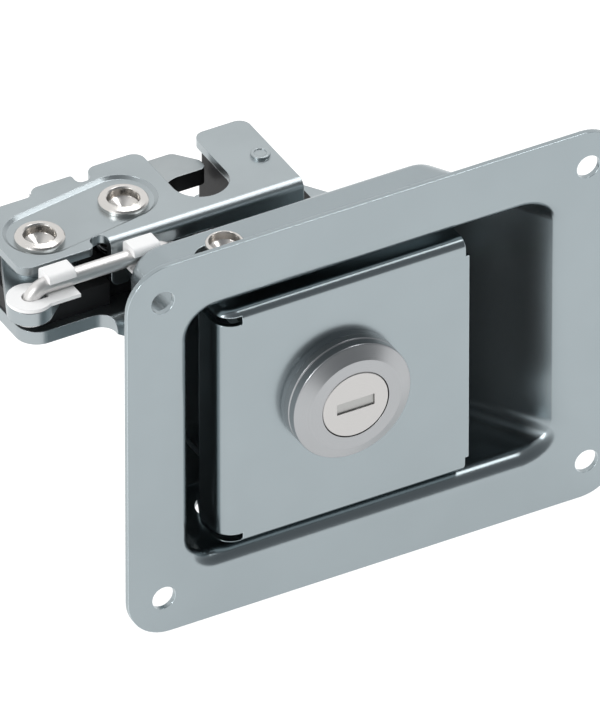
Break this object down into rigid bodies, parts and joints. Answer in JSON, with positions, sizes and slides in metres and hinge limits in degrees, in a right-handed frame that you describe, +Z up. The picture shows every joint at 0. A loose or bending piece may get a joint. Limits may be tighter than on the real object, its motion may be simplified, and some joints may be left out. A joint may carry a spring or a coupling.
{
  "type": "slam latch",
  "caption": "Flush paddle slam latch: recessed pan with a keyed folding paddle that pulls a rod to trip a rotary catch behind it.",
  "frame": {"origin": "centre of the rectangle of four fixing holes, on the back face of the flange, which lies on the panel", "axes": "+X to the right along the flange, +Y into the panel towards the catch, +Z up"},
  "size_m": [0.1311, 0.0652, 0.094],
  "materials": {
    "zinc_sheet": "bright blue-white zinc on drawn steel sheet",
    "zinc_plate": "zinc on pressed steel, fine grain",
    "nickel": "bright warm nickel",
    "spring_steel": "drawn wire",
    "black_moulding": "black moulded plastic",
    "satin_collar": "satin turned metal",
    "plug_metal": "satin pale metal",
    "bright_rod": "bright drawn rod",
    "white_nylon": "white nylon",
    "rotor_steel": "zinc faces with a black moulded edge"
  },
  "bodies": {
    "root": {"pan": "zinc_sheet", "upper_pivot_pin": "nickel", "lower_pivot_pin": "nickel", "paddle_spring": "spring_steel", "bracket_plate": "zinc_plate", "bracket_rivets": "zinc_plate", "top_plate": "zinc_plate", "rotor_rivet": "nickel", "pawl_rivet": "nickel", "inner_lining": "black_moulding", "rotor_spring": "spring_steel"},
    "paddle": {"paddle": "zinc_sheet", "pull_arm": "zinc_plate", "lock_body": "satin_collar", "lock_base_ring": "satin_collar", "lock_nut": "zinc_plate"},
    "key_plug": {"lock_plug": "plug_metal", "key_shutter": "plug_metal", "lock_cam": "zinc_plate", "cam_screw": "zinc_plate"},
    "rod": {"pull_rod": "bright_rod", "left_rod_clip": "white_nylon", "right_rod_clip": "white_nylon"},
    "pawl": {"pawl_lever": "zinc_plate", "pawl_hub": "zinc_plate", "pawl_spacer": "zinc_plate"},
    "rotor": {"rotor": "rotor_steel"}
  },
  "joints": [
    {"name": "paddle_turn", "type": "hinge", "parent": "root", "child": "paddle", "pos_m": [-0.027, 0.0155, 0], "axis": [0, 0, -1], "range_deg": [0, 25], "stiffness_Nm_per_rad": 0.25, "springref_deg": -34.38},
    {"name": "key_turn", "type": "hinge", "parent": "paddle", "child": "key_plug", "pos_m": [-0.0082, -0.0076, 0.001], "axis": [0, 1, 0], "range_deg": [0, 90]},
    {"name": "rod_swing", "type": "hinge", "parent": "paddle", "child": "rod", "pos_m": [-0.0332, 0.0276, 0.0289], "axis": [0, 0, 1], "range_deg": [0, 34]},
    {"name": "pawl_turn", "type": "hinge", "parent": "root", "child": "pawl", "pos_m": [-0.0574, 0.04065, 0.024], "axis": [0, 0, 1], "range_deg": [0, 23.5]},
    {"name": "rotor_turn", "type": "hinge", "parent": "root", "child": "rotor", "pos_m": [-0.0357, 0.0439, 0.026], "axis": [0, 0, 1], "range_deg": [0, 45.5]}
  ],
  "couplings": [
    {"joint": "rod_swing", "follows": "paddle_turn", "ratio": 1.312},
    {"joint": "pawl_turn", "follows": "paddle_turn", "ratio": 0.92},
    {"joint": "rotor_turn", "follows": "paddle_turn", "ratio": 1.8}
  ]
}
